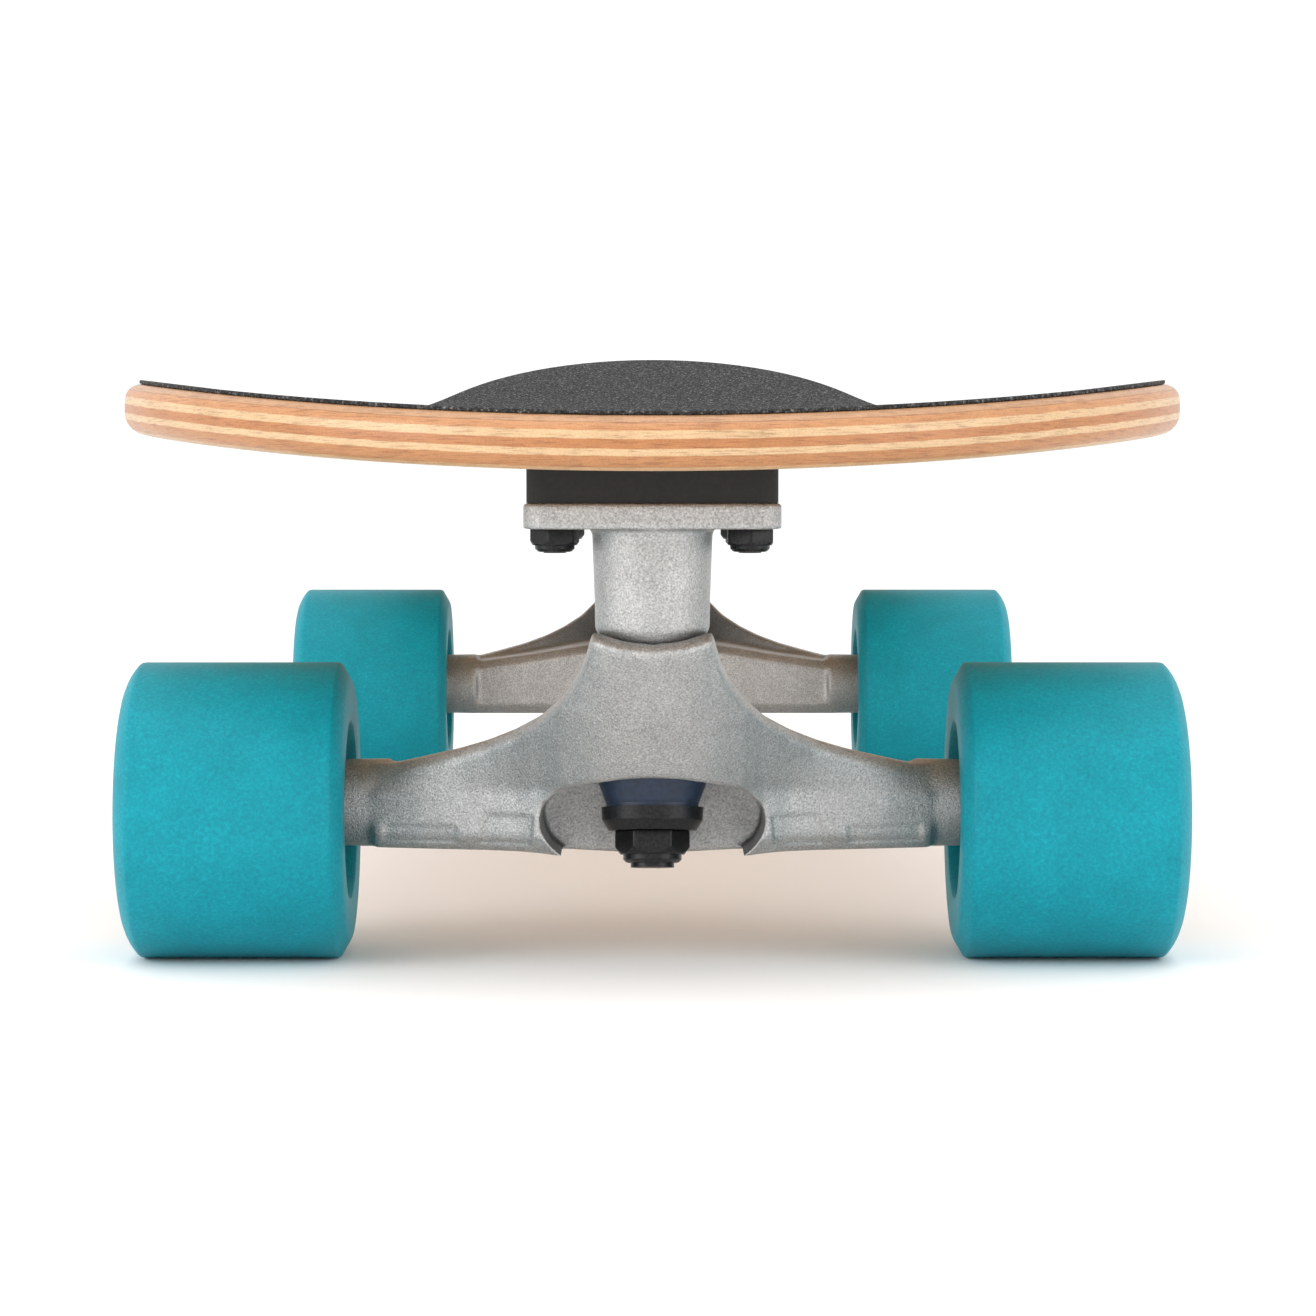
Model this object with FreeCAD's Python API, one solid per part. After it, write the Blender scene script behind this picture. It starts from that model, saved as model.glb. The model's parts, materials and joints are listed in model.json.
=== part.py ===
# Skateboard, cruiser type: seven-ply deck with kicktail, two cast trucks, four solid urethane wheels.
# Millimetres. Length along Y with the nose at -Y, X to the right seen from the nose, floor at z = 0.
import FreeCAD, Part
import math
import os

os.makedirs("parts", exist_ok=True)
V = FreeCAD.Vector
AX, AY, AZ = V(1, 0, 0), V(0, 1, 0), V(0, 0, 1)

# ---------------------------------------------------------------- driving dimensions
deck_length = 692.0        # tip of the nose to tip of the tail, flat
deck_width = 241.3
ply_count = 7
ply_thickness = 1.6
concave_radius = 880.0     # cross curve of the top of the deck
nose_overhang = 95.0       # front axle to the tip of the nose
nose_round = 128.0         # length over which the nose narrows
tail_round = 130.0          # length over which the tail end closes
tail_width = 190.0         # width of the tail where its round end starts
kick_gap = 8.0             # flat left behind the rear baseplate before the kick starts
kick_angle = 19.3
kick_radius = 150.0
grip_thickness = 0.9
grip_inset = 1.2           # bare wood between grip tape and the deck's side
deck_bottom_z = 109.4      # underside of the deck on its centre line

wheelbase = 432.0          # axle to axle
wheel_diameter = 66.0
wheel_width = 50.0
wheel_recess_r = 19.5
wheel_recess_depth = 15.5
wheel_lip_r = 25.0         # end of the rounded outer lip
wheel_chamfer = 2.2        # inner chamfer along the axle
wheel_chamfer_r = 4.0      # inner chamfer on the radius
wheel_gap = 0.3            # wheel core to the hanger's end face is more than this

bearing_od = 22.0
bearing_bore = 8.0
bearing_width = 7.0
bearing_spacer = 10.0      # length of the spacer between the bearings
ball_d = 3.969
ball_pitch_r = 7.55
ball_count = 7
washer_t = 1.0             # speed washer
axle_d = 7.94
axle_length = 219.0
axle_nut_af = 12.7
axle_nut_h = 7.0

hanger_half = 75.0         # middle of the truck to the hanger's end face
hanger_boss_r = 9.8
plate_w = 54.0
plate_in, plate_out = -20.0, 60.0
plate_t = 5.5
plate_corner = 5.0
riser_w, riser_margin = 52.7, 1.0
plate_top_z = 102.5
bolt_x, bolt_y = 41.275, 53.975
bolt_r = 2.4
bolt_hole_r = 2.75
bolt_head_r = 4.7
bolt_length = 30.0
bolt_nut_af = 9.5
bolt_nut_h = 5.0
bolt_outer = 46.0          # row of bolts farther from the board's middle, from the axle

pivot_u, pivot_z = 46.0, 82.0
pivot_ball_r = 6.0
pivot_seat_gap = 0.05
pivot_stem_r = 4.5
pivot_cup_r = 8.8
pivot_boss_r = 13.6        # sphere that ends the pivot boss
neck_gap = 0.4            # between the boss's round end and the hanger's neck
kingpin_r = 4.76
kingpin_lean = 8.0
kingpin_u33 = 20.0         # kingpin axis at the axle's height
kingpin_nut_af = 14.3
ring_lo, ring_hi = 45.3, 53.7
ring_hole_r = 8.6
ring_r = 15.5
bush_lo, bush_top = 35.3, 66.5
washer_top_t = 1.5
steer_deg = 20.0

wheel_r = wheel_diameter / 2
axle_z = wheel_r
deck_t = ply_count * ply_thickness
deck_top_z = deck_bottom_z + deck_t
front_y = -deck_length / 2 + nose_overhang
rear_y = front_y + wheelbase
kick_y = rear_y + plate_out + kick_gap
plate_bot_z = plate_top_z - plate_t


# ---------------------------------------------------------------- small builders
def cyl(r, h, p, d=AZ):
    return Part.makeCylinder(r, h, p, d)


def box(x0, x1, y0, y1, z0, z1):
    return Part.makeBox(x1 - x0, y1 - y0, z1 - z0, V(x0, y0, z0))


def xcyl(r, x0, x1, u=0.0, z=None):
    return cyl(r, x1 - x0, V(x0, u, axle_z if z is None else z), AX)


def ring_x(ro, ri, x0, x1):
    return xcyl(ro, x0, x1).cut(xcyl(ri, x0 - 1, x1 + 1))


def turned(points, p=V(0, 0, 0), axis=None):
    """Revolve (radius, height) points about Z, then stand the solid on p along axis."""
    w = Part.makePolygon([V(r, 0, h) for r, h in points] + [V(points[0][0], 0, points[0][1])])
    s = Part.Face(w).revolve(V(0, 0, 0), AZ, 360)
    m = FreeCAD.Placement(p, FreeCAD.Rotation(AZ, axis or AZ))
    s.transformShape(m.toMatrix())
    return s


def hexagon(af, h, p, axis, turn=0.0, chamfer=0.8):
    """Hexagonal prism with its corners turned down at the free end."""
    rc = af / math.sqrt(3)
    pts = [V(rc * math.cos(math.radians(60 * i + turn)), rc * math.sin(math.radians(60 * i + turn)), 0)
           for i in range(7)]
    s = Part.Face(Part.makePolygon(pts)).extrude(V(0, 0, h))
    cone = turned([(0, 0), (rc, 0), (rc, h - chamfer), (af / 2 * 0.98, h), (0, h)])
    s = s.common(cone)
    m = FreeCAD.Placement(p, FreeCAD.Rotation(AZ, axis))
    s.transformShape(m.toMatrix())
    return s


def fuse(shapes):
    s = shapes[0].multiFuse(shapes[1:]) if len(shapes) > 1 else shapes[0]
    return s.removeSplitter()


def solid_of(s):
    """The single solid inside a result, or a compound when there are several."""
    return s.Solids[0] if len(s.Solids) == 1 else Part.makeCompound(s.Solids)


def save(name, s):
    s = solid_of(s)
    s.exportStep("parts/%s.step" % name)
    print(name, "valid" if s.isValid() else "INVALID", len(s.Solids), "solids", round(s.Volume / 1000, 2))


# ---------------------------------------------------------------- deck
def planform(inset, z0, z1):
    """Prism of the deck's outline, inset all round."""
    half = deck_width / 2 - inset
    y_nose, y_tail = -deck_length / 2 + inset, deck_length / 2 - inset
    y_wide = -deck_length / 2 + nose_round
    y_end = deck_length / 2 - tail_round
    tail_half = tail_width / 2 - inset
    def spline(pts, d0, d1):
        c = Part.BSplineCurve()
        c.interpolate(pts, InitialTangent=d0, FinalTangent=d1)
        return c.toShape()
    nose = []
    for i in range(-8, 9):
        t = math.radians(90.0 * i / 8)
        nose.append(V(half * math.sin(t), y_wide - (y_wide - y_nose) * math.cos(t), z0))
    tail = []
    for i in range(-8, 9):
        t = math.radians(90.0 * i / 8)
        tail.append(V(-tail_half * math.sin(t), y_end + (y_tail - y_end) * math.cos(t), z0))
    right, left = [], []
    for i in range(7):                      # sides, narrowing to the tail
        t = i / 6
        x = half + (tail_half - half) * t * t * (3 - 2 * t)
        right.append(V(x, y_wide + (y_end - y_wide) * t, z0))
        left.append(V(-x, y_wide + (y_end - y_wide) * t, z0))
    left.reverse()
    down = V(0, -1, 0)
    w = Part.Wire([spline(nose, down, AY), spline(right, AY, AY), spline(tail, AY, down), spline(left, down, down)])
    return Part.Face(w).extrude(V(0, 0, z1 - z0))


def band(z_top, t, r_top):
    """Board-shaped band: its top is z_top on the centre line, curved across and bent up at the kick."""
    hw = deck_width / 2 + 15
    a = math.asin(hw / r_top)
    c = V(0, 0, z_top + r_top)

    def arc(r):
        return Part.Arc(c + V(-r * math.sin(a), 0, -r * math.cos(a)), c + V(0, 0, -r),
                        c + V(r * math.sin(a), 0, -r * math.cos(a))).toShape()
    top, bot = arc(r_top), arc(r_top + t)
    ends = [Part.makeLine(top.Vertexes[i].Point, bot.Vertexes[i].Point) for i in (0, 1)]
    face = Part.Face(Part.Wire(Part.__sortEdges__([top, ends[0], bot, ends[1]])))
    y0, y1 = -deck_length / 2 - 20, kick_y
    face.translate(V(0, y0, 0))
    flat = face.extrude(V(0, y1 - y0, 0))
    face.translate(V(0, y1 - y0, 0))
    hinge = V(0, kick_y, deck_top_z + kick_radius)
    bend = face.revolve(hinge, AX, kick_angle)
    last = face.copy()
    last.rotate(hinge, AX, kick_angle)
    d = V(0, math.cos(math.radians(kick_angle)), math.sin(math.radians(kick_angle)))
    ramp = last.extrude(d * (tail_round + 120))
    return fuse([flat, bend, ramp])


def ply_solid(inset, z_top, t):
    s = band(z_top, t, concave_radius + deck_top_z - z_top).common(planform(inset, 0, 260))
    return s


truck_places = [("front", front_y, -1.0), ("rear", rear_y, 1.0)]


def row_y(base, side, u):
    return base + side * u


def bolt_points(base, side):
    return [(sx * bolt_x / 2, row_y(base, side, bolt_outer - k * bolt_y)) for sx in (-1, 1) for k in (0, 1)]


def countersink(x, y, z_face):
    """Hole and countersink for one mounting bolt, with its head flush with z_face."""
    s = cyl(bolt_hole_r, 60, V(x, y, z_face - 55))
    return s.fuse(turned([(0, 0), (bolt_hole_r, 0), (bolt_head_r + 0.35, 2.6), (bolt_head_r + 0.35, 8),
                          (0, 8)], V(x, y, z_face - 2.6)))


def deck_height(x, z_centre, r):
    return z_centre + r - math.sqrt(r * r - x * x)


bolt_face_z = deck_height(bolt_x / 2, deck_top_z, concave_radius) + grip_thickness + 0.05


def build_deck():
    s = ply_solid(0, deck_top_z, deck_t)
    cuts = []
    for _, base, side in truck_places:
        for x, y in bolt_points(base, side):
            cuts.append(countersink(x, y, bolt_face_z))
    return solid_of(s.cut(Part.makeCompound(cuts)))


def build_grip():
    s = ply_solid(grip_inset, deck_top_z + grip_thickness, grip_thickness)
    cuts = []
    for _, base, side in truck_places:
        for x, y in bolt_points(base, side):
            cuts.append(countersink(x, y, bolt_face_z))
    return solid_of(s.cut(Part.makeCompound(cuts)))


# ---------------------------------------------------------------- truck, built about its own axle line
# u points outward (towards the nearer end of the board), x across, z up.
lean = math.radians(kingpin_lean)
kp_dir = V(0, -math.sin(lean), math.cos(lean))          # up along the kingpin


def kp(z):
    """Point of the kingpin's axis at height z."""
    return V(0, kingpin_u33 - math.tan(lean) * (z - 33.0), z)


def kp_len(z0, z1):
    return (z1 - z0) / math.cos(lean)


ring_mid = kp((ring_lo + ring_hi) / 2)
ball_c = V(0, pivot_u, pivot_z)


def rounded_slab(w, u0, u1, z0, z1, r):
    s = box(-w / 2, w / 2, u0, u1, z0, z1)
    return s.makeFillet(r, [e for e in s.Edges if e.BoundBox.ZLength > 0.9 * (z1 - z0)])


def bolt_uv():
    return [(sx * bolt_x / 2, bolt_outer - k * bolt_y) for sx in (-1, 1) for k in (0, 1)]


def build_baseplate():
    parts = [rounded_slab(plate_w, plate_in, plate_out, plate_bot_z, plate_top_z, plate_corner)]
    # the boss tapers a little and ends in a sphere about the pivot's centre
    cone = turned([(0, 0), (12.0, 0), (12.2, 13), (12.8, plate_bot_z + 1 - 68), (0, plate_bot_z + 1 - 68)],
                  V(0, pivot_u, 68))
    ball = Part.makeSphere(pivot_boss_r, ball_c)
    high = cyl(pivot_boss_r + 3, 40, V(0, pivot_u, pivot_z))
    parts.append(cone.common(fuse([ball, high])))
    # kingpin boss, leaning with the kingpin
    z_lo = bush_top + washer_top_t
    parts.append(turned([(0, 0), (11.6, 0), (12.4, kp_len(z_lo, plate_bot_z + 1.5)),
                         (0, kp_len(z_lo, plate_bot_z + 1.5))], kp(z_lo), kp_dir))
    # web joining the two bosses under the plate
    g = Part.Face(Part.makePolygon([V(0, 10, plate_bot_z + 1), V(0, 14, 88), V(0, 24, 89.5), V(0, 36, 90),
                                    V(0, 46, plate_bot_z + 1), V(0, 10, plate_bot_z + 1)]))
    web = g.extrude(V(7, 0, 0))
    web.translate(V(-3.5, 0, 0))
    parts.append(web)
    s = fuse(parts)
    s = s.common(box(-60, 60, -60, 80, 0, plate_top_z))
    # pocket for the kingpin's head, kingpin hole, seat for the pivot cup, bolt holes
    head = kp(plate_top_z - 8.5)
    s = s.cut(hexagon(15.2, 30, head, kp_dir, 30, 0.01))
    s = s.cut(cyl(kingpin_r, 80, kp(50), kp_dir))
    s = s.cut(Part.makeSphere(pivot_cup_r, ball_c))
    ax = (ring_mid - ball_c).normalize()
    s = s.cut(cyl(pivot_cup_r, 16, ball_c, ax))
    for x, u in bolt_uv():
        s = s.cut(cyl(bolt_hole_r, 30, V(x, u, plate_bot_z - 10)))
    return s


def build_pivot_cup():
    ax = (ring_mid - ball_c).normalize()
    s = Part.makeSphere(pivot_cup_r, ball_c).fuse(cyl(pivot_cup_r, 9.0, ball_c, ax))
    s = s.common(cyl(pivot_cup_r + 1, 60, ball_c - ax * 40, ax).cut(cyl(30, 20, ball_c + ax * 9.0, ax)))
    s = s.common(Part.makeSphere(11.6, ball_c))
    s = s.cut(Part.makeSphere(pivot_ball_r + pivot_seat_gap, ball_c))
    flare = turned([(0, 0), (pivot_ball_r + pivot_seat_gap, 0), (7.4, 9), (8.1, 20), (0, 20)], ball_c, ax)
    return s.cut(flare)


def build_kingpin():
    z_top = plate_top_z - 8.5
    s = cyl(kingpin_r, kp_len(22.3, z_top + 1), kp(22.3), kp_dir)
    s = s.fuse(hexagon(14.3, 5.6, kp(z_top), kp_dir, 30, 0.8))
    return s.removeSplitter()


def bore_kp(s, r, z0, z1):
    return s.cut(cyl(r, kp_len(z0, z1), kp(z0), kp_dir))


def build_kingpin_nut():
    s = hexagon(kingpin_nut_af, kp_len(23.0, 28.3), kp(28.3), V(0, 0, 0) - kp_dir, 30, 0.9)
    s = s.fuse(cyl(7.6, kp_len(28.3, 30.3), kp(28.3), kp_dir)).removeSplitter()
    return bore_kp(s, kingpin_r, 15, 40)


def build_bottom_washer():
    h = kp_len(30.3, bush_lo)
    pts = [(kingpin_r, 0), (9.6, 0), (11.0, h * 0.45), (11.2, h), (10.6, h), (10.4, h * 0.5), (10.1, 1.9),
           (kingpin_r, 1.9)]
    return turned(pts, kp(30.3), kp_dir)


def build_bottom_bushing():
    z0 = 30.3 + 1.9 * math.cos(lean)
    h = kp_len(z0, ring_lo)
    lip = 0.3 * h
    pts = [(kingpin_r, 0), (9.6, 0), (9.9, 0.8), (10.1, lip), (12.9, h * 0.86), (13.2, h * 0.92), (13.2, h),
           (kingpin_r, h)]
    return turned(pts, kp(z0), kp_dir)


def build_top_bushing():
    h = kp_len(ring_hi, bush_top)
    pts = [(kingpin_r, 0), (12.0, 0), (12.5, 0.8), (12.5, h - 0.8), (12.0, h), (kingpin_r, h)]
    return turned(pts, kp(ring_hi), kp_dir)


def build_top_washer():
    h = kp_len(bush_top, bush_top + washer_top_t)
    return turned([(kingpin_r, 0), (13.2, 0), (13.2, h), (kingpin_r, h)], kp(bush_top), kp_dir)


# hanger sections from its middle out: (x, z of the crest, u of the lower front, u of the crest's front,
# u of the crest's back, u and z of the corner where the crest's back meets the axle bar)
hanger_rows = [
    (0.0, 73.2, 38.0, 60.0, 47.0, 30.0, 49.0),
    (7.0, 73.9, 37.3, 59.6, 47.0, 30.0, 49.0),
    (10.6, 75.0, 35.8, 58.6, 46.8, 29.5, 49.0),
    (12.6, 75.4, 34.5, 57.2, 46.5, 29.0, 49.0),
    (14.2, 69.5, 33.0, 52.5, 43.5, 28.0, 49.0),
    (16.4, 65.0, 31.0, 47.5, 39.5, 27.0, 49.0),
    (19.6, 60.6, 27.8, 42.0, 34.0, 24.0, 48.5),
    (24.0, 56.4, 22.8, 34.5, 27.0, 20.0, 48.0),
    (30.0, 52.8, 18.6, 26.5, 19.5, 15.0, 47.0),
    (36.0, 50.1, 16.2, 20.5, 13.5, 11.0, 46.0),
    (42.7, 47.8, 14.6, 16.2, 8.0, 7.0, 45.0),
    (50.0, 45.9, 13.0, 12.6, 4.0, 3.5, 44.0),
    (57.0, 44.2, 11.2, 9.4, 1.0, 0.5, 43.0),
    (62.0, 43.9, 10.0, 7.0, -2.0, -2.5, 42.5),
]


def hanger_section(sx, x, zt, uf, utf, utb, uw, zw):
    """Closed wire of the hanger's section at x."""
    z0 = 23.6 + min(x, 26.0) / 26.0 * 1.5
    pts = [(-7.0, z0 + 3), (-4.0, z0), (uf - 3.5, z0), (uf, z0 + 3.5), (uf + 0.5, 41.0 - x * 0.06),
           (utf, zt - 2.2), (utf - 2.5, zt), (utb, zt - 0.3), (uw, zw), (-4.5, zw - 0.5), (-7.0, zw - 3)]
    return Part.makePolygon([V(sx * x, u, z) for u, z in pts + pts[:1]])


def build_hanger():
    rows = [hanger_section(-1, *r) for r in reversed(hanger_rows[1:])]
    rows += [hanger_section(1, *r) for r in hanger_rows]
    parts = [Part.makeLoft(rows, True, True)]
    for sx in (-1, 1):
        p = V(sx * 58.0, 0.4, axle_z + 1.7)
        d = V(sx, 0, 0)
        parts.append(turned([(0, 0), (9.9, 0), (hanger_boss_r, 6), (hanger_boss_r - 0.2, hanger_half - 60),
                             (hanger_boss_r - 1.4, hanger_half - 58), (0, hanger_half - 58)], p, d))
    # rib from the ring up to the neck, which the pivot stem grows from
    rib = Part.Face(Part.makePolygon([V(0, 30.0, ring_lo), V(0, 31.0, ring_hi), V(0, 32.8, 66.5),
                                      V(0, 34.5, 72.0), V(0, 50.0, 75.5), V(0, 50.0, 66.0), V(0, 36.0, ring_lo),
                                      V(0, 30.0, ring_lo)])).extrude(V(18.0, 0, 0))
    rib.translate(V(-9.0, 0, 0))
    parts.append(rib)
    # ring that the kingpin passes through
    parts.append(cyl(ring_r, kp_len(ring_lo, ring_hi), kp(ring_lo), kp_dir))
    s = fuse(parts)
    # open pocket in front of the axle bar with an arched mouth, and room for both bushings
    arch = [(-17.0, 10), (-17.0, 24.4), (-20.0, 25.4), (-22.4, 27.2), (-24.0, 30.0), (-24.6, 33.0),
            (-23.8, 36.0), (-21.4, 38.6), (-17.5, 40.6), (-12.0, 42.0), (-6.0, 43.1), (0, 43.4)]
    arch += [(-x, z) for x, z in reversed(arch[:-1])]
    pocket = Part.Face(Part.makePolygon([V(x, 0, z) for x, z in arch + arch[:1]])).extrude(V(0, 60, 0))
    pocket.translate(V(0, 6.2, 0))
    keep = cyl(ring_r + 0.01, kp_len(ring_lo, ring_hi), kp(ring_lo), kp_dir)
    s = s.cut(pocket.cut(keep))
    s = s.cut(turned([(0, 0), (14.6, 0), (15.2, 12), (16.2, 40), (0, 40)], kp(ring_hi), kp_dir))
    s = s.cut(turned([(0, 0), (15.6, 0), (15.6, 20), (0, 20)], kp(ring_lo), V(0, 0, 0) - kp_dir))
    # neck: hollow for the boss's round end, with the stem and ball standing in it
    s = s.cut(Part.makeSphere(pivot_boss_r + neck_gap, ball_c))
    s = s.cut(cyl(pivot_boss_r + neck_gap, 30, ball_c))
    ax = (ring_mid - ball_c).normalize()
    stem = cyl(pivot_stem_r, 21.0, ball_c, ax)
    s = s.fuse(stem)
    s = s.fuse(Part.makeSphere(pivot_ball_r, ball_c)).removeSplitter()
    s = s.cut(cyl(ring_hole_r, 60, kp(30), kp_dir))
    s = s.cut(xcyl(axle_d / 2, -100, 100))
    return s


def x_parts():
    """Pieces on one axle, in truck coordinates."""
    out = {}
    th = axle_d / 2
    a = xcyl(th, -axle_length / 2, axle_length / 2)
    a = a.makeChamfer(0.6, [e for e in a.Edges if e.BoundBox.XLength < 1e-3])
    out["axle"] = a
    x_b1 = hanger_half + washer_t
    x_s = x_b1 + bearing_width
    x_b2 = x_s + bearing_spacer
    x_w = x_b2 + bearing_width
    x_n = x_w + washer_t
    both = {"bearing_spacers": [], "speed_washers": [], "axle_nuts": [], "bearing_inner_races": []}
    for sx in (-1, 1):
        def mir(s):
            if sx > 0:
                return s
            t = s.copy()
            t.rotate(V(0, 0, axle_z), AZ, 180)
            return t
        both["bearing_spacers"].append(mir(ring_x(5.1, th, x_s, x_b2)))
        for x in (hanger_half, x_w):
            both["speed_washers"].append(mir(ring_x(5.6, th, x, x + washer_t)))
        nut = hexagon(axle_nut_af, axle_nut_h - 1.6, V(x_n, 0, axle_z), AX, 0, 0.9)
        nut = nut.fuse(cyl(5.6, axle_nut_h, V(x_n, 0, axle_z), AX)).removeSplitter()
        both["axle_nuts"].append(mir(nut.cut(xcyl(th, x_n - 1, x_n + 20))))
        for x in (x_b1, x_b2):
            r = ring_x(6.05, th, x, x + bearing_width)
            groove = Part.makeTorus(ball_pitch_r, ball_d / 2 + 0.06, V(x + bearing_width / 2, 0, axle_z), AX)
            both["bearing_inner_races"].append(mir(r.cut(groove)))
    for k, v in both.items():
        out[k] = Part.makeCompound(v)
    return out


def wheel_parts():
    """Wheel, outer races, shields, cages and balls at +X, in truck coordinates."""
    x_b1 = hanger_half + washer_t
    x_b2 = x_b1 + bearing_width + bearing_spacer
    x0 = x_b1 - (wheel_width - (2 * bearing_width + bearing_spacer)) / 2 + 4.3
    x1 = x0 + wheel_width
    R = wheel_r
    rb = bearing_od / 2
    shoulder = 9.2
    prof = [(rb, x_b1), (rb, x_b1 + bearing_width), (shoulder, x_b1 + bearing_width), (shoulder, x_b2), (rb, x_b2),
            (rb, x_b2 + bearing_width + 0.6), (16.5, x_b2 + bearing_width + 1.4), (18.8, x1 - 6.0),
            (wheel_recess_r, x1 - 0.8), (wheel_recess_r + 0.8, x1), (wheel_lip_r, x1)]
    n = 7
    for i in range(1, n + 1):              # rounded outer lip
        t = math.radians(90.0 * i / n)
        prof.append((wheel_lip_r + (R - wheel_lip_r) * math.sin(t) ** 0.9, x1 - 4.2 * (1 - math.cos(t))))
    prof += [(R, x0 + wheel_chamfer), (R - wheel_chamfer_r, x0), (wheel_recess_r + 0.8, x0),
             (wheel_recess_r, x0 + 0.8), (18.6, x_b1 - 1.6), (16.0, x_b1 - 0.8), (rb, x_b1 - 0.6)]
    w = turned([(r, x) for r, x in prof], V(0, 0, axle_z), AX)
    races, shields, cages, balls = [], [], [], []
    for x in (x_b1, x_b2):
        mid = x + bearing_width / 2
        r = ring_x(rb, 9.05, x, x + bearing_width)
        races.append(r.cut(Part.makeTorus(ball_pitch_r, ball_d / 2 + 0.06, V(mid, 0, axle_z), AX)))
        for a, b in ((x + 0.25, x + 0.65), (x + bearing_width - 0.65, x + bearing_width - 0.25)):
            shields.append(ring_x(9.05, 6.45, a, b))
        c = ring_x(8.3, 6.85, mid - 1.1, mid + 1.1)
        for i in range(ball_count):
            t = 2 * math.pi * i / ball_count
            p = V(mid, ball_pitch_r * math.cos(t), axle_z + ball_pitch_r * math.sin(t))
            c = c.cut(Part.makeSphere(ball_d / 2 + 0.04, p))
            balls.append(Part.makeSphere(ball_d / 2, p))
        cages.append(c)
    return {"wheel": w, "bearing_outer_races": Part.makeCompound(races),
            "bearing_shields": Part.makeCompound(shields), "bearing_cages": Part.makeCompound(cages),
            "bearing_balls": Part.makeCompound(balls)}


def placed(s, base, side):
    """Truck coordinates to the board: the front truck is turned half a turn."""
    t = s.copy()
    if side < 0:
        t.rotate(V(0, 0, 0), AZ, 180)
    t.translate(V(0, base, 0))
    return t


# ---------------------------------------------------------------- build everything
deck = build_deck()
save("deck", deck)
save("grip_tape", build_grip())

truck = {
    "baseplate": build_baseplate(),
    "pivot_cup": build_pivot_cup(),
    "kingpin": build_kingpin(),
    "kingpin_nut": build_kingpin_nut(),
    "bottom_washer": build_bottom_washer(),
    "bottom_bushing": build_bottom_bushing(),
    "top_bushing": build_top_bushing(),
    "top_washer": build_top_washer(),
    "hanger": build_hanger(),
}
truck.update(x_parts())

bolts, nuts = [], []
for x, u in bolt_uv():
    head = turned([(0, 0), (bolt_r, 0), (bolt_head_r, 2.5), (0, 2.5)], V(x, u, bolt_face_z - 2.5))
    shank = cyl(bolt_r, bolt_length - 1.0, V(x, u, bolt_face_z - bolt_length))
    b = head.fuse(shank).removeSplitter()
    slot = box(x - 3, x + 3, u - 0.45, u + 0.45, bolt_face_z - 1.3, bolt_face_z + 1)
    slot = slot.fuse(box(x - 0.45, x + 0.45, u - 3, u + 3, bolt_face_z - 1.3, bolt_face_z + 1))
    bolts.append(b.cut(slot))
    nut = hexagon(bolt_nut_af, bolt_nut_h - 1.5, V(x, u, plate_bot_z), V(0, 0, -1), 18, 0.7)
    nut = nut.fuse(cyl(4.1, bolt_nut_h, V(x, u, plate_bot_z), V(0, 0, -1))).removeSplitter()
    nuts.append(nut.cut(cyl(bolt_r, 20, V(x, u, plate_bot_z - 15))))
truck["mounting_bolts"] = Part.makeCompound(bolts)
truck["mounting_nuts"] = Part.makeCompound(nuts)

# riser: rubber block between the baseplate and the curved underside of the deck
rs = rounded_slab(riser_w, plate_in + riser_margin, plate_out - riser_margin, plate_top_z, deck_top_z, 4.0)
under = concave_radius + deck_t
rs = rs.cut(cyl(under, 200, V(0, -60, deck_bottom_z + under), AY))
for x, u in bolt_uv():
    rs = rs.cut(cyl(bolt_hole_r, 40, V(x, u, plate_top_z - 5)))
truck["riser"] = rs

for tag, base, side in truck_places:
    for name, s in truck.items():
        save("%s_%s" % (tag, name), placed(s, base, side))
    wp = wheel_parts()
    for hand, sx in (("left", -1), ("right", 1)):
        for name, s in wp.items():
            t = s.copy()
            if sx * 1.0 != (1.0 if side > 0 else -1.0):
                t.rotate(V(0, 0, axle_z), AZ, 180)
            save("%s_%s_%s" % (tag, hand, name), placed(t, base, side))
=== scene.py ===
import bpy
import json
import math
from mathutils import Matrix, Vector


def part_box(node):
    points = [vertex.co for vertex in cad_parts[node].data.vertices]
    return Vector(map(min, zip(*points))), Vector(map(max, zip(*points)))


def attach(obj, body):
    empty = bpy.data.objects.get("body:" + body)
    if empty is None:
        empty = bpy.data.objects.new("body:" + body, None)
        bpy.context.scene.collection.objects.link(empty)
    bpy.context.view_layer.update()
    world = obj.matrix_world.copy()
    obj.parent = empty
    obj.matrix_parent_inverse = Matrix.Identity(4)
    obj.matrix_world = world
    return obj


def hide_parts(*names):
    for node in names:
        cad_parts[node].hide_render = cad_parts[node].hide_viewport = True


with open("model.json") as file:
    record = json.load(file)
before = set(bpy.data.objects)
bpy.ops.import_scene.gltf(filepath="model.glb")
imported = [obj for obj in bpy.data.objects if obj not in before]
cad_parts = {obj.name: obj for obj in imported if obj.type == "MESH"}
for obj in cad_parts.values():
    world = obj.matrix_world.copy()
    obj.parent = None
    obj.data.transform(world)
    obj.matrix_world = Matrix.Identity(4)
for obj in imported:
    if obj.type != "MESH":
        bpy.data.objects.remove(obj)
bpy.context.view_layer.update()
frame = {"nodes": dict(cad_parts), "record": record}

mm = 0.001

# ------------------------------------------------------------ sizes, as the frame has them
deck_length, deck_width, deck_thick = 0.692, 0.2413, 0.0112
deck_top = 0.1206
concave = 0.880
grip_thick = 0.0009
nose_round, tail_round, tail_width = 0.128, 0.130, 0.190
front_axle, rear_axle = -0.251, 0.181
kick_start, kick_bend, kick_angle = rear_axle + 0.068, 0.150, math.radians(19.3)
axle_height = 0.033
bolt_half_width, bolt_reach, bolt_pitch = 0.0206375, 0.046, 0.053975
trucks = (("front", front_axle, -1), ("rear", rear_axle, 1))


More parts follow.
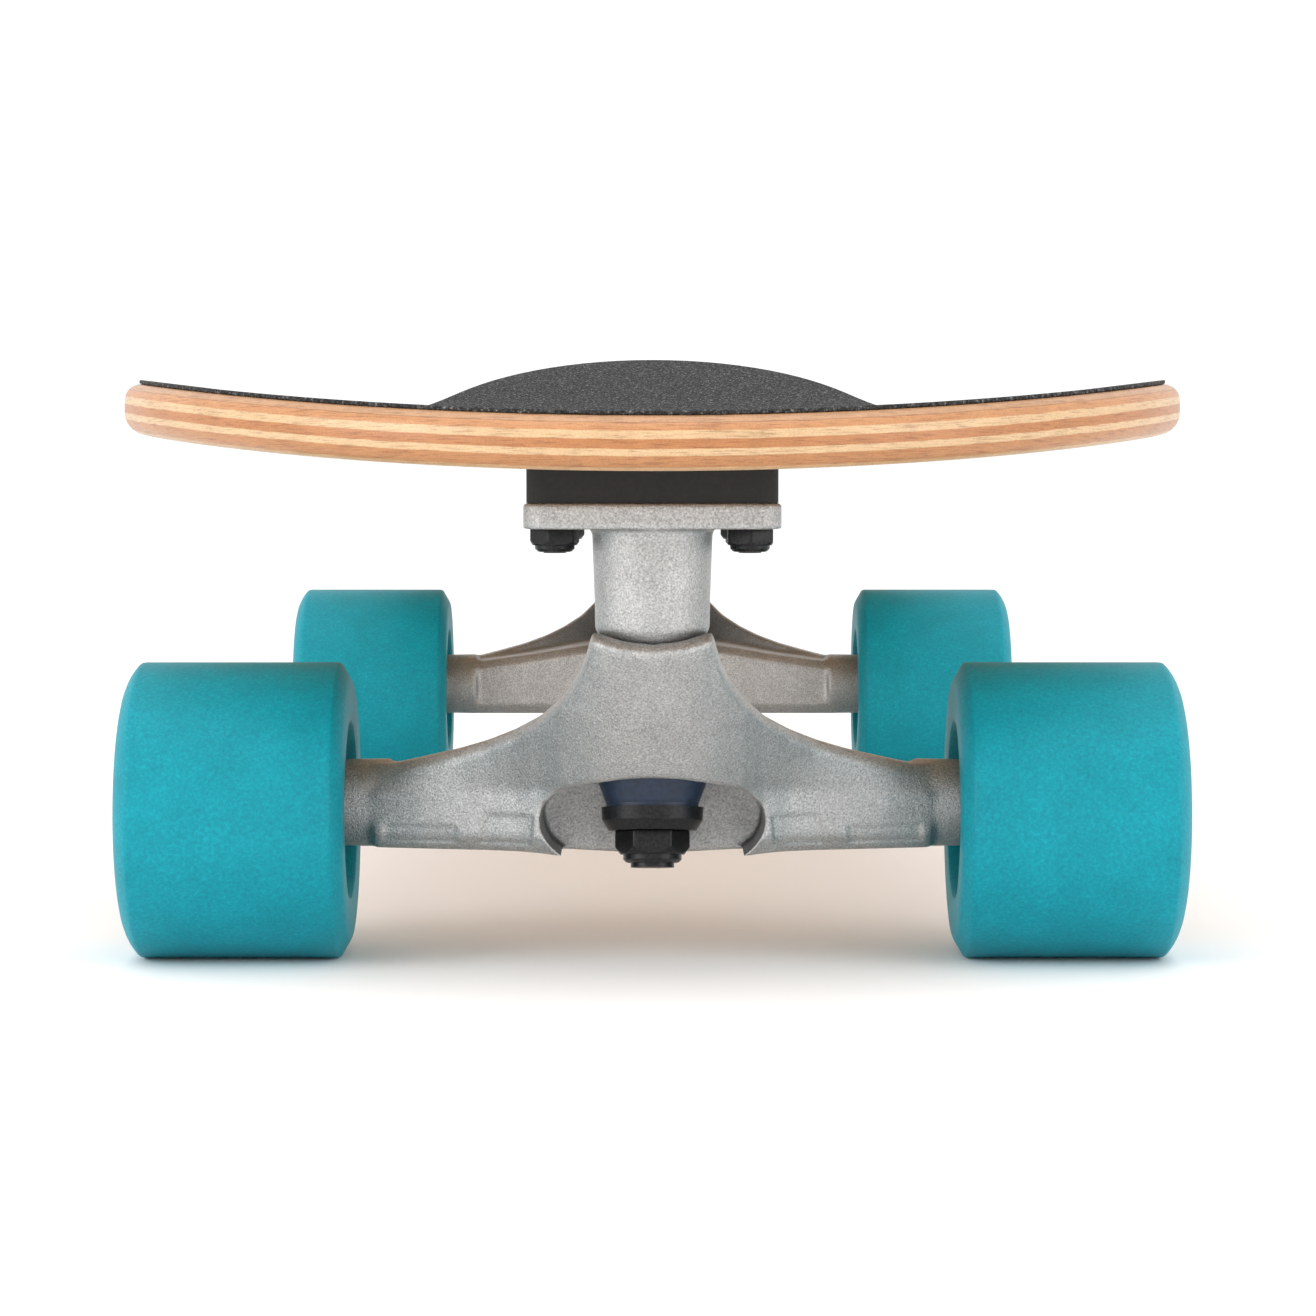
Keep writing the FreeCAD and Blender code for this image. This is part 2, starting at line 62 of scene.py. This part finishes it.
# ------------------------------------------------------------ camera, floor and lights
def camera():
    bpy.ops.object.camera_add(location=(0.0, front_axle - 0.885, 0.1156),
                              rotation=(math.radians(90 - 3.144), 0, math.radians(-0.081)))
    cam = bpy.context.object
    cam.data.sensor_width = 36
    cam.data.lens = 108.57
    cam.data.clip_end = 50
    bpy.context.scene.camera = cam


def softbox(name, place, aim, size, power):
    """A square soft light that faces aim."""
    bpy.ops.object.light_add(type="AREA", location=place)
    lamp = bpy.context.object
    lamp.name = name
    lamp.data.shape = "RECTANGLE"
    lamp.data.size, lamp.data.size_y = size
    lamp.data.energy = power
    turn = (Vector(aim) - Vector(place)).to_track_quat("-Z", "Y")
    lamp.rotation_euler = turn.to_euler()


def linear(hex_colour):
    """An sRGB hex colour as linear red, green, blue and 1."""
    out = []
    for i in (0, 2, 4):
        c = int(hex_colour[i:i + 2], 16) / 255
        out.append(c / 12.92 if c <= 0.04045 else ((c + 0.055) / 1.055) ** 2.4)
    return (*out, 1.0)


def add(tree, kind, settings=None, **links):
    """Adds a node: settings are its attributes, links its inputs, each a value or another node's socket."""
    n = tree.nodes.new(kind)
    for k, v in (settings or {}).items():
        setattr(n, k, v)
    for k, v in links.items():
        k = int(k[1:]) if k[0] == "i" and k[1:].isdigit() else k.replace("_", " ")
        if isinstance(v, bpy.types.NodeSocket):
            tree.links.new(v, n.inputs[k])
        else:
            n.inputs[k].default_value = v
    return n


def ramp(tree, fac, stops, mode="LINEAR"):
    """A colour ramp through (place, hex colour) stops."""
    n = add(tree, "ShaderNodeValToRGB", Fac=fac)
    n.color_ramp.interpolation = mode
    while len(n.color_ramp.elements) < len(stops):
        n.color_ramp.elements.new(0.5)
    for e, (at, colour) in zip(n.color_ramp.elements, stops):
        e.position = at
        e.color = linear(colour)
    return n.outputs["Color"]


def material(name):
    """A new material with its tree, its shader and the object's coordinates in metres."""
    m = bpy.data.materials.new(name)
    m.use_nodes = True
    t = m.node_tree
    return m, t, t.nodes["Principled BSDF"], add(t, "ShaderNodeTexCoord").outputs["Object"]


def set_shader(shader, **values):
    for k, v in values.items():
        shader.inputs[k.replace("_", " ")].default_value = v


def bump(tree, shader, height, depth, strength=1.0, before=None):
    """Bump of depth metres."""
    n = add(tree, "ShaderNodeBump", Height=height, Distance=depth, Strength=strength)
    if before is not None:
        tree.links.new(before, n.inputs["Normal"])
    tree.links.new(n.outputs["Normal"], shader.inputs["Normal"])
    return n.outputs["Normal"]


def noise(tree, place, size, detail=2.0, rough=0.5):
    """Noise whose blobs are about size metres across."""
    return add(tree, "ShaderNodeTexNoise", Vector=place, Scale=1 / size, Detail=detail,
               Roughness=rough).outputs["Fac"]


def stretched(tree, place, sx, sy, sz):
    return add(tree, "ShaderNodeMapping", Vector=place, Scale=(sx, sy, sz)).outputs["Vector"]


def mixed(tree, fac, a, b, blend="MIX"):
    n = add(tree, "ShaderNodeMix", {"data_type": "RGBA", "blend_type": blend})
    for key, v in (("Factor", fac), ("A", a), ("B", b)):
        kind = "VALUE" if key == "Factor" else "RGBA"
        s = [q for q in n.inputs if q.name == key and q.type == kind][0]
        if isinstance(v, bpy.types.NodeSocket):
            tree.links.new(v, s)
        else:
            s.default_value = v
    return [q for q in n.outputs if q.type == "RGBA"][0]


# ------------------------------------------------------------ materials
def lacquered_maple():
    """Seven maple veneers under clear lacquer: the eye gets warm stripes at the edge, a pale face below."""
    m, t, s, place = material("maple plies, lacquered")
    depth = add(t, "ShaderNodeAttribute", {"attribute_name": "ply_depth"}).outputs["Fac"]
    wander = noise(t, stretched(t, place, 1, 1, 0.2), 6 * mm, 2)
    shift = add(t, "ShaderNodeMath", {"operation": "MULTIPLY_ADD"},
                i0=wander, i1=0.035, i2=-0.0175).outputs[0]
    at = add(t, "ShaderNodeMath", {"operation": "ADD"}, i0=depth, i1=shift).outputs[0]
    plies = ((1.5, "c2936a"), (3.1, "c98f5e"), (4.8, "dcb98e"), (6.8, "bd7f4c"), (8.2, "ddbb90"),
             (10.5, "be8452"), (11.2, "d3aa7d"))
    stops, top = [], 0.0
    for low, colour in plies:
        stops += [(top / 11.2 + 0.012, colour), (low / 11.2 - 0.006, colour)]
        top = low
    stops.insert(2, (1.5 / 11.2 + 0.002, "8f6541"))      # dark glue line under the top veneer
    edge = ramp(t, at, stops)
    # vessels of the long grain: 0.25 mm across and some 20 mm long
    fine = noise(t, stretched(t, place, 1, 0.03, 1), 0.35 * mm, 3, 0.6)
    broad = noise(t, stretched(t, place, 1, 0.06, 1), 5 * mm, 4, 0.6)
    streak = ramp(t, fine, ((0.30, "a8a8a8"), (0.62, "ffffff")))
    tone = ramp(t, broad, ((0.25, "d8cfc4"), (0.75, "ffffff")))
    # sawn fibres show as hairlines along the edge, about 0.3 mm apart in height
    hair = noise(t, stretched(t, place, 0.06, 0.06, 1), 0.32 * mm, 3, 0.65)
    lines = ramp(t, hair, ((0.34, "a87f58"), (0.50, "ffffff"), (0.70, "fff4e4")))
    c = mixed(t, 0.32, edge, streak, "MULTIPLY")
    sawn = ramp(t, depth, ((0.93, "ffffff"), (0.995, "000000")))      # the face below is not sawn across
    c = mixed(t, sawn, c, mixed(t, 0.5, c, lines, "MULTIPLY"))
    c = mixed(t, 0.55, c, tone, "MULTIPLY")
    t.links.new(c, s.inputs["Base Color"])
    set_shader(s, Roughness=0.42, IOR=1.5, Coat_Weight=0.25, Coat_Roughness=0.28)
    bump(t, s, fine, 0.05 * mm, 0.35)
    return m


def grip_tape():
    """Silicon carbide grit on a black sheet: a matt black with grey specks, partly the grit's own tone and
    partly painted glints.
    """
    m, t, s, place = material("grip tape, 80 grit")
    # grit is about 0.2 mm, drawn at 0.7 to 0.9 mm so that it shows
    grit = add(t, "ShaderNodeTexVoronoi", Vector=place, Scale=1 / (0.7 * mm))
    grit_and_glint = noise(t, place, 0.9 * mm, 3, 0.75)
    # grey grit specks in the colour, the lightest of them painted glints
    c = ramp(t, grit_and_glint, ((0.36, "0e0e0e"), (0.50, "2e2e2e"), (0.60, "505050"), (0.70, "8c8c8c")))
    t.links.new(c, s.inputs["Base Color"])
    set_shader(s, Roughness=0.82, IOR=1.5, Specular_IOR_Level=0.4)
    bump(t, s, grit.outputs["Distance"], 0.5 * mm, 1.0)
    return m


def sand_cast():
    """Sand-cast aluminium, tumbled: the eye gets a light satin grey with a fine even grain."""
    m, t, s, place = material("aluminium, sand cast and tumbled")
    grain = noise(t, place, 0.42 * mm, 3, 0.65)       # sand is 0.2 mm, drawn coarser
    sweep = noise(t, place, 7 * mm, 3)
    c = ramp(t, grain, ((0.30, "909090"), (0.52, "b7b7b6"), (0.72, "d9d9d8")))
    c = mixed(t, 0.25, c, ramp(t, sweep, ((0.3, "b8b8b8"), (0.7, "ffffff"))), "MULTIPLY")
    t.links.new(c, s.inputs["Base Color"])
    r = add(t, "ShaderNodeMapRange", Value=grain, To_Min=0.36, To_Max=0.54).outputs[0]
    t.links.new(r, s.inputs["Roughness"])
    set_shader(s, Metallic=0.95)
    n = bump(t, s, sweep, 0.5 * mm, 0.3)
    bump(t, s, grain, 0.22 * mm, 0.9, n)
    return m


def cast_urethane():
    """Poured urethane, soft and matt: the eye gets an even teal with fine dust and mould grain."""
    m, t, s, place = material("urethane, poured, teal")
    speck = noise(t, place, 0.7 * mm, 3, 0.7)
    broad = noise(t, place, 9 * mm, 2)
    c = ramp(t, speck, ((0.30, "007f90"), (0.55, "00909f"), (0.78, "0aa2b2")))
    c = mixed(t, 0.3, c, ramp(t, broad, ((0.3, "d5d5d5"), (0.7, "ffffff"))), "MULTIPLY")
    t.links.new(c, s.inputs["Base Color"])
    set_shader(s, Roughness=0.5, IOR=1.45, Specular_IOR_Level=0.28)
    bump(t, s, speck, 0.06 * mm, 0.5)
    return m


def plain_finish(name, dark, light, rough, metal, size, depth, **extra):
    """One finish with a slight mottle of that size: dark and light are hex colours."""
    m, t, s, place = material(name)
    mottle = noise(t, place, size, 3, 0.6)
    t.links.new(ramp(t, mottle, ((0.32, dark), (0.68, light))), s.inputs["Base Color"])
    r = add(t, "ShaderNodeMapRange", Value=mottle, To_Min=rough - 0.06, To_Max=rough + 0.08).outputs[0]
    t.links.new(r, s.inputs["Roughness"])
    set_shader(s, Metallic=metal, **extra)
    bump(t, s, mottle, depth, 0.5)
    return m


finishes = {
    "maple": lacquered_maple(),
    "grip": grip_tape(),
    "cast_aluminium": sand_cast(),
    "teal_urethane": cast_urethane(),
    # moulded rubber: even, matt and near black
    "riser_rubber": plain_finish("rubber, moulded, black",
                             "101010", "1c1c1c", 0.72, 0.0, 0.8 * mm, 0.05 * mm),
    "black_urethane": plain_finish("urethane, moulded, black",
                               "141414", "202020", 0.5, 0.0, 1 * mm, 0.03 * mm),
    # navy urethane: a soft satin with a faint bloom
    "navy_urethane": plain_finish("urethane, poured, navy",
                              "152338", "22344f", 0.42, 0.0, 1.5 * mm, 0.03 * mm),
    # black oxide on steel: dark with a low sheen
    "black_steel": plain_finish("steel, black oxide", "141415", "2a2a2b", 0.34, 0.6, 0.6 * mm, 0.03 * mm),
    "plated_steel": plain_finish("steel, zinc plated", "9c9d9e", "c4c5c6", 0.30, 1.0, 1.2 * mm, 0.02 * mm),
    "bearing_steel": plain_finish("steel, ground", "b0b1b2", "cfd0d0", 0.20, 1.0, 0.5 * mm, 0.01 * mm),
    "bearing_shield": plain_finish("steel, pressed shield",
                               "a2a3a4", "bcbdbe", 0.28, 1.0, 0.8 * mm, 0.01 * mm),
    "bearing_cage": plain_finish("brass, pressed", "a07a3a", "c39a52", 0.34, 1.0, 0.8 * mm, 0.01 * mm),
}
slot_of = {p["node"]: p["material_slot"] for p in frame["record"]["subparts"]}


# ------------------------------------------------------------ modelling helpers
def clear_selection():
    bpy.ops.object.select_all(action="DESELECT")


def finish_piece(obj, name, slot_name, body, *nodes):
    """Names the piece, gives it its finish and lets it ride on its body in place of the CAD nodes."""
    obj.name = name
    obj.data.name = name
    obj.data.materials.clear()
    obj.data.materials.append(finishes[slot_name])
    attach(obj, body)
    if nodes:
        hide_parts(*nodes)
    return obj


def smooth(obj, angle):
    clear_selection()
    obj.select_set(True)
    bpy.context.view_layer.objects.active = obj
    bpy.ops.object.shade_smooth_by_angle(angle=math.radians(angle))


def apply_all(obj):
    bpy.context.view_layer.objects.active = obj
    for mod in list(obj.modifiers):
        bpy.ops.object.modifier_apply(modifier=mod.name)


def merged_copy(node):
    """A copy of a CAD node's mesh with its loose triangles joined."""
    clear_selection()
    src = frame["nodes"][node]
    mesh = src.data.copy()
    obj = bpy.data.objects.new(node + "_copy", mesh)
    bpy.context.collection.objects.link(obj)
    obj.select_set(True)
    bpy.context.view_layer.objects.active = obj
    bpy.ops.object.mode_set(mode="EDIT")
    bpy.ops.mesh.select_all(action="SELECT")
    bpy.ops.mesh.remove_doubles(threshold=0.000002)
    bpy.ops.object.mode_set(mode="OBJECT")
    return obj


# ------------------------------------------------------------ deck and grip tape
def board_height(x, y, depth):
    """Height of the board's surface that lies depth below the top of the deck, kick included."""
    r = concave + depth
    h = r - math.sqrt(r * r - x * x)
    rho = kick_bend + depth - h
    hinge = deck_top + kick_bend
    if y <= kick_start:
        return deck_top - depth + h
    if y <= kick_start + rho * math.sin(kick_angle):
        return hinge - math.sqrt(rho * rho - (y - kick_start) ** 2)
    past = y - kick_start - rho * math.sin(kick_angle)
    return hinge - rho * math.cos(kick_angle) + past * math.tan(kick_angle)


def outline(inset, n):
    """Points of the deck's outline, anticlockwise from the nose, inset all round: n on each half."""
    half, tail = deck_width / 2 - inset, tail_width / 2 - inset
    y_nose, y_tail = -deck_length / 2 + inset, deck_length / 2 - inset
    y_wide, y_end = -deck_length / 2 + nose_round, deck_length / 2 - tail_round
    right = []
    for i in range(4000):
        k = i / 1000
        if k < 1:
            a = k * math.pi / 2
            right.append((half * math.sin(a), y_wide - (y_wide - y_nose) * math.cos(a)))
        elif k < 3:
            q = (k - 1) / 2
            right.append((half + (tail - half) * q * q * (3 - 2 * q), y_wide + (y_end - y_wide) * q))
        else:
            a = (k - 3) * math.pi / 2
            right.append((tail * math.cos(a), y_end + (y_tail - y_end) * math.sin(a)))
    right.append((0.0, y_tail))
    run, total = [0.0], 0.0
    for (x0, y0), (x1, y1) in zip(right, right[1:]):
        total += math.hypot(x1 - x0, y1 - y0)
        run.append(total)
    even, j = [], 0
    for i in range(n + 1):
        want = total * i / n
        while j < len(run) - 2 and run[j + 1] < want:
            j += 1
        f = (want - run[j]) / (run[j + 1] - run[j])
        even.append(tuple(right[j][k] + f * (right[j + 1][k] - right[j][k]) for k in (0, 1)))
    return even + [(-x, y) for x, y in reversed(even[1:-1])]


def select_faces(obj, test):
    """In edit mode, leaves only the faces whose centre and normal pass the test selected."""
    bpy.ops.object.mode_set(mode="OBJECT")
    for f in obj.data.polygons:
        f.select = test(f)
    for e in obj.data.edges:
        e.select = False
    for v in obj.data.vertices:
        v.select = False
    for f in obj.data.polygons:
        if f.select:
            for i in f.vertices:
                obj.data.vertices[i].select = True
    bpy.ops.object.mode_set(mode="EDIT")
    bpy.ops.mesh.select_mode(type="FACE")


def board_sheet(name, inset, top_depth, thick, edge):
    """A sheet that follows the board: a flat blank with rounded rims, gridded both sides, then pressed."""
    clear_selection()
    points = outline(inset, 120)
    bpy.ops.mesh.primitive_circle_add(vertices=len(points), radius=0.1)
    obj = bpy.context.object
    for v, (x, y) in zip(obj.data.vertices, points):
        v.co = (x, y, 0)
    bpy.ops.object.mode_set(mode="EDIT")
    bpy.ops.mesh.select_all(action="SELECT")
    bpy.ops.mesh.edge_face_add()
    bpy.ops.mesh.extrude_region_move(TRANSFORM_OT_translate={"value": (0, 0, -thick)})
    bpy.ops.mesh.select_all(action="SELECT")
    bpy.ops.mesh.normals_make_consistent(inside=False)
    bpy.ops.object.mode_set(mode="OBJECT")
    mod = obj.modifiers.new("round", "BEVEL")
    mod.width, mod.segments, mod.limit_method, mod.angle_limit = edge, 5, "ANGLE", math.radians(60)
    mod.use_clamp_overlap = False
    apply_all(obj)
    for top in (True, False):
        select_faces(obj, lambda f: len(f.vertices) > 20 and (f.center.z > -thick / 2) == top)
        bpy.ops.mesh.delete(type="ONLY_FACE")
        bpy.ops.mesh.select_mode(type="EDGE")
        bpy.ops.mesh.select_all(action="DESELECT")
        bpy.ops.mesh.select_non_manifold(extend=False)
        bpy.ops.mesh.fill_grid(span=30)
    bpy.ops.mesh.select_all(action="SELECT")
    bpy.ops.mesh.normals_make_consistent(inside=False)
    bpy.ops.object.mode_set(mode="OBJECT")
    for v in obj.data.vertices:
        v.co.z = board_height(v.co.x, v.co.y, top_depth - v.co.z)
    obj.name = name
    return obj


def add_depth(obj):
    """Writes each point's depth below the deck's top, as a share of its thickness."""
    a = obj.data.attributes.new("ply_depth", "FLOAT", "POINT")
    for i, v in enumerate(obj.data.vertices):
        a.data[i].value = (board_height(v.co.x, v.co.y, 0) - v.co.z) / deck_thick


def bolt_places():
    for tag, base, side in trucks:
        for sx in (-1, 1):
            for u in (bolt_reach, bolt_reach - bolt_pitch):
                yield sx * bolt_half_width, base + side * u


def drill(obj, radius, depth_low, depth_high):
    """Cuts the mounting bolts' holes through the sheet."""
    for x, y in bolt_places():
        clear_selection()
        z = board_height(x, y, 0)
        bpy.ops.mesh.primitive_cylinder_add(vertices=40, radius=radius, depth=depth_high - depth_low,
                                            location=(x, y, z + (depth_low + depth_high) / 2))
        tool = bpy.context.object
        mod = obj.modifiers.new("hole", "BOOLEAN")
        mod.object, mod.operation, mod.solver = tool, "DIFFERENCE", "EXACT"
        apply_all(obj)
        bpy.data.objects.remove(tool)


def build_board():
    deck = board_sheet("deck_maple", 0.0, 0.0, deck_thick, 0.0042)
    drill(deck, 0.0049, -0.02, 0.02)
    add_depth(deck)
    smooth(deck, 35)
    finish_piece(deck, "deck_maple", "maple", "board", "deck")
    grip = board_sheet("grip_sheet", 0.0034, -grip_thick, grip_thick, 0.0003)
    drill(grip, 0.0049, -0.02, 0.02)
    smooth(grip, 35)
    finish_piece(grip, "grip_sheet", "grip", "board", "grip_tape")


# ------------------------------------------------------------ castings
# inner and outer x, low and high z, slant of the sides
arm_panels = ((0.0265, 0.0385, 0.0266, 0.0338, 0.12), (0.0430, 0.0600, 0.0266, 0.0310, 0.05))


def pad_depth(x, z):
    """How far into one of the arms' four shallow panels a point of the front face lies, from 0 to 1."""
    deep = 0.0
    for x0, x1, low, high, slant in arm_panels:
        edge = min(abs(x) - x0 + (z - low) * slant, x1 - abs(x) - (z - low) * slant * 2, z - low, high - z)
        deep = max(deep, min(1.0, max(0.0, edge / 0.0006)))
    return deep


def casting(node, name, body, voxel, passes, base, side, panels=False):
    """The CAD casting with its corners run out as a sand mould leaves them."""
    obj = merged_copy(node)
    mod = obj.modifiers.new("skin", "REMESH")
    mod.mode, mod.voxel_size, mod.use_smooth_shade = "VOXEL", voxel, True
    mod = obj.modifiers.new("run", "SMOOTH")
    mod.factor, mod.iterations = 0.5, passes
    apply_all(obj)
    if panels:
        facing = [v.index for v in obj.data.vertices if v.normal.y * side > 0.6]
        for i in facing:
            v = obj.data.vertices[i]
            v.co.y -= side * 0.0005 * pad_depth(v.co.x, v.co.z)
    finish_piece(obj, name, "cast_aluminium", body, node)
    return obj


# ------------------------------------------------------------ turned pieces
def turned(name, points, steps, axis="X"):
    """Spins a closed run of (radius, place along the axis) points, drawn by extruding one point along it."""
    clear_selection()
    bpy.ops.mesh.primitive_plane_add(size=0.001)
    obj = bpy.context.object
    obj.name = name
    bpy.ops.object.mode_set(mode="EDIT")
    bpy.ops.mesh.select_mode(type="VERT")
    bpy.ops.mesh.select_all(action="SELECT")
    bpy.ops.mesh.merge(type="CENTER")
    at = [Vector((p, r, 0)) if axis == "X" else Vector((r, 0, p)) for r, p in points]
    bpy.ops.transform.translate(value=at[0])
    for a, b in zip(at, at[1:]):
        bpy.ops.mesh.extrude_region_move(TRANSFORM_OT_translate={"value": b - a})
    bpy.ops.mesh.select_all(action="SELECT")
    bpy.ops.mesh.spin(steps=steps, angle=math.tau, center=(0, 0, 0),
                      axis=(1, 0, 0) if axis == "X" else (0, 0, 1))
    bpy.ops.mesh.select_all(action="SELECT")
    bpy.ops.mesh.remove_doubles(threshold=0.000002)
    bpy.ops.mesh.normals_make_consistent(inside=False)
    bpy.ops.object.mode_set(mode="OBJECT")
    return obj


def build_wheels():
    """Wheel tread, lips and recesses, with fine rounds at each corner."""
    x0, x1, big = 0.0673, 0.1173, 0.033
    core = 0.076
    # (radius, place) of the corners; the bearing seats have the CAD's own sizes
    points = [(0.0110, core), (0.0110, 0.0830), (0.0092, 0.0830), (0.0092, 0.0930), (0.0110, 0.0930),
              (0.0110, 0.1006), (0.0165, 0.1014), (0.0186, 0.1090), (0.0194, 0.1160), (0.0198, 0.1168),
              (0.0205, x1), (0.0250, x1)]
    points += [(0.0265, 0.11725), (0.0280, 0.11690), (0.0295, 0.11630), (0.0308, 0.11560), (0.0318, 0.11490),
               (0.0325, 0.11430), (0.0329, 0.11380), (big, 0.1130)]
    points += [(big, 0.1000), (big, 0.0850), (big, x0 + 0.0029), (big - 0.0003, x0 + 0.0022),
               (big - 0.0036, x0 + 0.0003), (big - 0.0043, x0), (0.0210, x0), (0.0200, x0 + 0.0002),
               (0.0194, x0 + 0.0010), (0.0186, 0.0744), (0.0160, 0.0752), (0.0110, 0.0754), (0.0110, core)]
    first = turned("wheel_pattern", points, 128)
    for tag, base, side in trucks:
        for hand, sx in (("left", -1), ("right", 1)):
            node = "%s_%s_wheel" % (tag, hand)
            low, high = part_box(node)
            out = 1 if low[0] + high[0] > 0 else -1
            wheel = first.copy()
            wheel.data = first.data.copy()
            bpy.context.collection.objects.link(wheel)
            if out < 0:
                wheel.data.transform(Matrix.Rotation(math.pi, 4, "Z"))
            wheel.data.transform(Matrix.Translation((0, base, axle_height)))
            smooth(wheel, 40)
            finish_piece(wheel, node + "_poured", "teal_urethane", node + "_body", node)
    bpy.data.objects.remove(first)


# ------------------------------------------------------------ nuts
def lock_nut(name, flats, height, collar, collar_height, bore, turn):
    """A lock nut standing on z = 0 with its collar up: chamfered hexagon, rolled collar and bore."""
    clear_selection()
    bpy.ops.mesh.primitive_cylinder_add(vertices=6, radius=flats / math.sqrt(3), depth=height,
                                        location=(0, 0, height / 2), rotation=(0, 0, math.radians(turn)))
    obj = bpy.context.object
    bpy.ops.object.transform_apply(location=True, rotation=True, scale=True)
    mod = obj.modifiers.new("corners", "BEVEL")
    mod.width, mod.segments, mod.limit_method = 0.00035, 3, "ANGLE"
    apply_all(obj)
    # the corners are turned down to a cone at the free end
    bpy.ops.mesh.primitive_cone_add(vertices=96, radius1=flats / math.sqrt(3) * 1.32,
                                    radius2=flats / 2 * 0.97,
                                    depth=height * 1.02, location=(0, 0, height * 0.51))
    cone = bpy.context.object
    mod = obj.modifiers.new("turn down", "BOOLEAN")
    mod.object, mod.operation, mod.solver = cone, "INTERSECT", "EXACT"
    apply_all(obj)
    bpy.data.objects.remove(cone)
    ring = turned(name + "_collar", [(bore, 0.0002), (collar - 0.0002, 0.0002), (collar, 0.0005),
                                     (collar, height + collar_height - 0.0007),
                                     (collar - 0.0006, height + collar_height - 0.0001),
                                     (bore + 0.0008, height + collar_height),
                                      (bore, height + collar_height - 0.0006),
                                     (bore, 0.0002)], 64, "Z")
    clear_selection()
    ring.select_set(True)
    obj.select_set(True)
    bpy.context.view_layer.objects.active = obj
    bpy.ops.object.join()
    obj.name = name
    return obj


def placed_copy(obj, matrix):
    other = obj.copy()
    other.data = obj.data.copy()
    bpy.context.collection.objects.link(other)
    other.data.transform(matrix)
    return other


def joined(pieces):
    clear_selection()
    for o in pieces:
        o.select_set(True)
    bpy.context.view_layer.objects.active = pieces[0]
    bpy.ops.object.join()
    return pieces[0]


def build_nuts():
    small = lock_nut("small_nut", 0.0095, 0.0036, 0.0042, 0.0014, 0.0024, 12)
    large = lock_nut("large_nut", 0.0143, 0.0052, 0.0064, 0.0018, 0.00476, 30)
    for tag, base, side in trucks:
        four = []
        reaches = (bolt_reach, bolt_reach - bolt_pitch)
        for i, (sx, u) in enumerate((sx, u) for sx in (-1, 1) for u in reaches):
            at = Matrix.Translation((sx * bolt_half_width, base + side * u, 0.097))
            m = at @ Matrix.Rotation(math.pi, 4, "X")
            four.append(placed_copy(small, m @ Matrix.Rotation(math.radians(23 * i), 4, "Z")))
        nuts = joined(four)
        smooth(nuts, 30)
        finish_piece(nuts, tag + "_mounting_lock_nuts", "black_steel", "board", tag + "_mounting_nuts")
        lean = math.radians(8)
        u = 0.020 - math.tan(lean) * (0.0303 - 0.033)
        m = Matrix.Translation((0, u, 0.0303)) @ Matrix.Rotation(lean + math.pi, 4, "X")
        if side < 0:
            m = Matrix.Rotation(math.pi, 4, "Z") @ m
        m = Matrix.Translation((0, base, 0)) @ m
        nut = placed_copy(large, m)
        smooth(nut, 30)
        finish_piece(nut, tag + "_kingpin_lock_nut", "black_steel", "board", tag + "_kingpin_nut")
    bpy.data.objects.remove(small)
    bpy.data.objects.remove(large)


# ------------------------------------------------------------ assembly
def floor():
    clear_selection()
    bpy.ops.mesh.primitive_plane_add(size=60, location=(0, 2.0, 0))
    plane = bpy.context.object
    plane.name = "floor"
    m, t, s, place = material("paper sweep, white")
    set_shader(s, Base_Color=linear("fafafa"), Roughness=0.9, Specular_IOR_Level=0.0)
    plane.data.materials.append(m)


def lights():
    world = bpy.data.worlds.new("studio")
    bpy.context.scene.world = world
    world.use_nodes = True
    world.node_tree.nodes["Background"].inputs["Color"].default_value = (1, 1, 1, 1)
    world.node_tree.nodes["Background"].inputs["Strength"].default_value = 1.12
    softbox("over", (0.0, -0.45, 1.5), (0, -0.1, 0), (1.6, 1.6), 8)
    softbox("left", (-1.3, -1.1, 0.55), (0, -0.2, 0.06), (0.9, 0.9), 9)
    softbox("right", (1.3, -1.1, 0.45), (0, -0.2, 0.06), (0.9, 0.9), 5)


camera()
floor()
lights()
bpy.context.scene.view_settings.view_transform = "Standard"
for node, obj in frame["nodes"].items():
    obj.data.materials.clear()
    obj.data.materials.append(finishes[slot_of[node]])
build_board()
for tag, base, side in trucks:
    casting(tag + "_hanger", tag + "_hanger_cast", tag + "_hanger_body", 0.0006, 18, base, side, True)
    casting(tag + "_baseplate", tag + "_baseplate_cast", "board", 0.0006, 5, base, side)
build_wheels()
build_nuts()
clear_selection()
